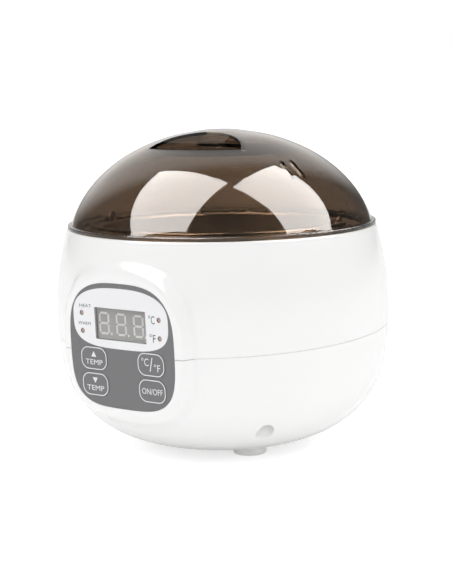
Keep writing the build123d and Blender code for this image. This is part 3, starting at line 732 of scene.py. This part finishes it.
# ---------------------------------------------------------------- printing on the panel and keys
def letters(name, words, width, height, u, v, out):
    """Words as a thin raised print of a given size, centred on the panel at a distance outside its face."""
    bpy.ops.object.select_all(action="DESELECT")
    bpy.ops.object.text_add()
    text = bpy.context.object
    text.name = name
    text.data.body = words
    text.data.extrude = 0.02
    text.data.resolution_u = 6
    bpy.ops.object.convert(target="MESH")
    piece = bpy.context.object
    bpy.ops.object.mode_set(mode="EDIT")
    bpy.ops.mesh.select_all(action="SELECT")
    bpy.ops.mesh.remove_doubles(threshold=1e-5)
    bpy.ops.mesh.normals_make_consistent(inside=False)
    bpy.ops.object.mode_set(mode="OBJECT")
    corners = [Vector(corner) for corner in piece.bound_box]
    low = Vector(min(corner[axis] for corner in corners) for axis in range(3))
    high = Vector(max(corner[axis] for corner in corners) for axis in range(3))
    size = high - low
    fit = Matrix.Diagonal((width / size.x * MM, height / size.y * MM, PRINT_DEPTH / size.z * MM, 1))
    place = Matrix.Translation(Vector((u, v, out)) * MM)
    piece.data.transform(place @ fit @ Matrix.Translation(-(low + high) / 2))
    return to_panel(piece)


def outline_line(name, outline, inner, out):
    """Thin printed line between two outlines with equally many points."""
    count = len(outline)
    levels = ((outline, out - PRINT_DEPTH), (outline, out), (inner, out), (inner, out - PRINT_DEPTH))
    points = [(u * MM, v * MM, level * MM) for loop, level in levels for u, v in loop]
    faces = []
    for ring in range(4):
        first, following = ring * count, (ring + 1) % 4 * count
        for step in range(count):
            after = (step + 1) % count
            faces.append((first + step, first + after, following + after, following + step))
    mesh = bpy.data.meshes.new(name)
    mesh.from_pydata(points, [], faces)
    piece = bpy.data.objects.new(name, mesh)
    bpy.context.scene.collection.objects.link(piece)
    only(piece)
    bpy.ops.object.mode_set(mode="EDIT")
    bpy.ops.mesh.select_all(action="SELECT")
    bpy.ops.mesh.normals_make_consistent(inside=False)
    bpy.ops.object.mode_set(mode="OBJECT")
    return to_panel(piece)


def print_panel():
    edge = superellipse(ZONE_HALF_WIDTH, ZONE_HALF_HEIGHT, ZONE_TOP_POWER, ZONE_BOTTOM_POWER, 0, ZONE_V)
    zone = plate("white_print", edge, 0.0, PRINT_DEPTH)
    width, height = WINDOW_WIDTH + WINDOW_CLEARANCE, WINDOW_HEIGHT + WINDOW_CLEARANCE
    holes = [plate("cut", rounded_box(width, height, WINDOW_CORNER, 0, WINDOW_V), -1, 1)]
    hole_radius = LIGHT_RADIUS + LIGHT_CLEARANCE
    for u in (-LIGHT_U, LIGHT_U):
        for v in LIGHT_V:
            holes.append(plate("cut", superellipse(hole_radius, hole_radius, 2, 2, u, v, 48), -1, 1))
    combine(zone, joined(holes), "DIFFERENCE")
    give(zone, FILM_WHITE, "base", "panel_white")
    for name, words, width, height, u, v in PANEL_LABELS:
        give(letters(name, words, width, height, u, v, LABEL_LIFT), INK_DARK, "base", "panel_grey")


def print_keys():
    """White outline and symbols on each key, moving with it."""
    outer_inset, inner_inset = KEY_LINE_INSET, KEY_LINE_INSET + KEY_LINE_WIDTH
    for body, (u, v) in KEY_PLACES.items():
        outline, inner = (
            rounded_box(KEY_WIDTH - 2 * inset, KEY_HEIGHT - 2 * inset, KEY_CORNER - inset, u, v)
            for inset in (outer_inset, inner_inset)
        )
        line = outline_line(f"key_line_{body}", outline, inner, KEY_PROUD + KEY_LINE_LIFT)
        give(line, INK_WHITE, body, "panel_white")
    for body, point in (("temp_up", 1), ("temp_down", -1)):
        u, v = KEY_PLACES[body]
        v += ARROW_RISE
        foot, tip = v - ARROW_BASE * point, v + ARROW_TIP * point
        corners = [(u - ARROW_HALF_WIDTH, foot), (u + ARROW_HALF_WIDTH, foot), (u, tip)]
        arrow = plate(f"key_arrow_{body}", corners, KEY_PROUD - ARROW_SINK, KEY_PROUD + KEY_LINE_LIFT)
        give(arrow, INK_WHITE, body, "panel_white")
    for name, words, width, height, body, du, dv in KEY_LABELS:
        u, v = KEY_PLACES[body]
        word = letters(name, words, width, height, u + du, v + dv, KEY_PROUD + KEY_WORD_LIFT)
        give(word, INK_WHITE, body, "panel_white")


finish_cad_nodes()
mould_shells()
print_panel()
print_keys()

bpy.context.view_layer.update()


# ---------------------------------------------------------------- camera, light, floor
VIEW_AZIMUTH = radians(37.0)
VIEW_HEIGHT = radians(8.32)
VIEW_ROLL = radians(1.15)
VIEW_DISTANCE = 1.1337
VIEW_TARGET = Vector((0, 0, 0.0952))
VIEW_LENS = 110.93
SENSOR_WIDTH = 36.0
VIEW_SHIFT = (0.0051, 0.0009)


def from_view(right, away, up):
    """Vector in the object's frame from one in the viewer's frame."""
    return Vector((
        right * cos(VIEW_AZIMUTH) - away * sin(VIEW_AZIMUTH),
        right * sin(VIEW_AZIMUTH) + away * cos(VIEW_AZIMUTH),
        up,
    ))


def place_camera():
    data = bpy.data.cameras.new("view")
    data.lens = VIEW_LENS
    data.sensor_width = SENSOR_WIDTH
    data.shift_x, data.shift_y = VIEW_SHIFT
    data.clip_end = 50.0
    camera = bpy.data.objects.new("view", data)
    bpy.context.scene.collection.objects.link(camera)
    backward = from_view(0, -cos(VIEW_HEIGHT), sin(VIEW_HEIGHT))
    camera.location = VIEW_TARGET + backward * VIEW_DISTANCE
    facing = (-backward).to_track_quat("-Z", "Y").to_matrix().to_4x4()
    camera.matrix_world = Matrix.Translation(camera.location) @ facing @ Matrix.Rotation(-VIEW_ROLL, 4, "Z")
    bpy.context.scene.camera = camera


BOX_DISTANCE = 0.95
BOX_GLOW = 0.5
BOX_SHINE = 10.5
LIGHT_AIM_Z = 0.16
ROOM_LIGHT = 0.93
ROOM_SHINE = 0.12
PALE_WALL = (-0.1, 0.8, 0.6)
PALE_WALL_EDGE = (0.74, 0.9)
PALE_WALL_SHINE = 1.1
FLOOR_SEEN_GLOW = 0.35
FLOOR_GLOW = 0.17
FLOOR_SIDE = 30


def softbox(name, centre, long_side, width, length, power):
    data = bpy.data.lights.new(name, "AREA")
    data.shape = "RECTANGLE"
    data.size, data.size_y = width, length
    data.energy = power
    lamp = bpy.data.objects.new(name, data)
    bpy.context.scene.collection.objects.link(lamp)
    away = centre.normalized()
    up = (long_side - away * long_side.dot(away)).normalized()
    side = up.cross(away)
    turn = Matrix((side, up, away)).transposed().to_4x4()
    lamp.matrix_world = Matrix.Translation(Vector((0, 0, LIGHT_AIM_Z)) + centre) @ turn
    return lamp


def light_scene():
    """Two large softboxes over the front, each made twice.

    One of the two lights the surfaces, and the other is only their bright reflection.
    """
    boxes = (
        ("left", (-0.5175, -0.243, 0.833), (0.651, 0.868, 0.506), 0.859, 1.197),
        ("right", (0.652, -0.104, 0.761), (-0.8055, 0.51, 0.5905), 0.786, 1.12),
    )
    for name, place, long_side, width, length in boxes:
        centre, long_side = from_view(*place) * BOX_DISTANCE, from_view(*long_side)
        across, along = width * BOX_DISTANCE, length * BOX_DISTANCE
        power = pi * width * length * BOX_DISTANCE**2
        lit = softbox(f"{name}_softbox", centre, long_side, across, along, power)
        lit.data.energy *= BOX_GLOW
        lit.visible_glossy = False
        lit.data.cycles.use_multiple_importance_sampling = False
        shine = softbox(f"{name}_shine", centre, long_side, across, along, power)
        shine.data.energy *= BOX_SHINE
        shine.visible_diffuse = False
    world = bpy.data.worlds.new("white_room")
    bpy.context.scene.world = world
    world.use_nodes = True
    tree = world.node_tree
    background = tree.nodes["Background"]
    background.inputs["Color"].default_value = (1, 1, 1, 1)
    path = tree.nodes.new("ShaderNodeLightPath")
    ray = tree.nodes.new("ShaderNodeTexCoord")
    towards_wall = tree.nodes.new("ShaderNodeVectorMath")
    towards_wall.operation = "DOT_PRODUCT"
    towards_wall.inputs[1].default_value = from_view(*PALE_WALL).normalized()
    wall = tree.nodes.new("ShaderNodeMapRange")
    wall.interpolation_type = "SMOOTHSTEP"
    wall.inputs["From Min"].default_value, wall.inputs["From Max"].default_value = PALE_WALL_EDGE
    wall.inputs["To Min"].default_value = ROOM_SHINE
    wall.inputs["To Max"].default_value = PALE_WALL_SHINE
    mirrored = tree.nodes.new("ShaderNodeMapRange")
    mirrored.inputs["To Min"].default_value = 1.0
    strength = tree.nodes.new("ShaderNodeMapRange")
    strength.inputs["To Max"].default_value = ROOM_LIGHT
    link(tree, ray.outputs["Generated"], towards_wall.inputs[0])
    link(tree, towards_wall.outputs["Value"], wall.inputs["Value"])
    link(tree, wall.outputs["Result"], mirrored.inputs["To Max"])
    link(tree, path.outputs["Is Glossy Ray"], mirrored.inputs["Value"])
    link(tree, mirrored.outputs["Result"], strength.inputs["To Min"])
    link(tree, path.outputs["Is Diffuse Ray"], strength.inputs["Value"])
    link(tree, strength.outputs["Result"], background.inputs["Strength"])
    bpy.context.scene.view_settings.view_transform = "Standard"


def lay_floor():
    bpy.ops.object.select_all(action="DESELECT")
    bpy.ops.mesh.primitive_plane_add(size=FLOOR_SIDE, location=(0, 0, 0))
    floor = bpy.context.object
    floor.name = "pale_floor"
    pale = surface("floor_white", (0.78, 0.78, 0.78), 0.7, ripple=3.0, bump=0.0, dark=0.995)
    shader = pale.node_tree.nodes["Principled BSDF"]
    shader.inputs["Emission Color"].default_value = (1, 1, 1, 1)
    path = pale.node_tree.nodes.new("ShaderNodeLightPath")
    glow = pale.node_tree.nodes.new("ShaderNodeMath")
    glow.operation = "MULTIPLY_ADD"
    glow.inputs[1].default_value = FLOOR_SEEN_GLOW
    glow.inputs[2].default_value = FLOOR_GLOW
    link(pale.node_tree, path.outputs["Is Camera Ray"], glow.inputs[0])
    link(pale.node_tree, glow.outputs[0], shader.inputs["Emission Strength"])
    floor.data.materials.append(pale)


place_camera()
light_scene()
lay_floor()
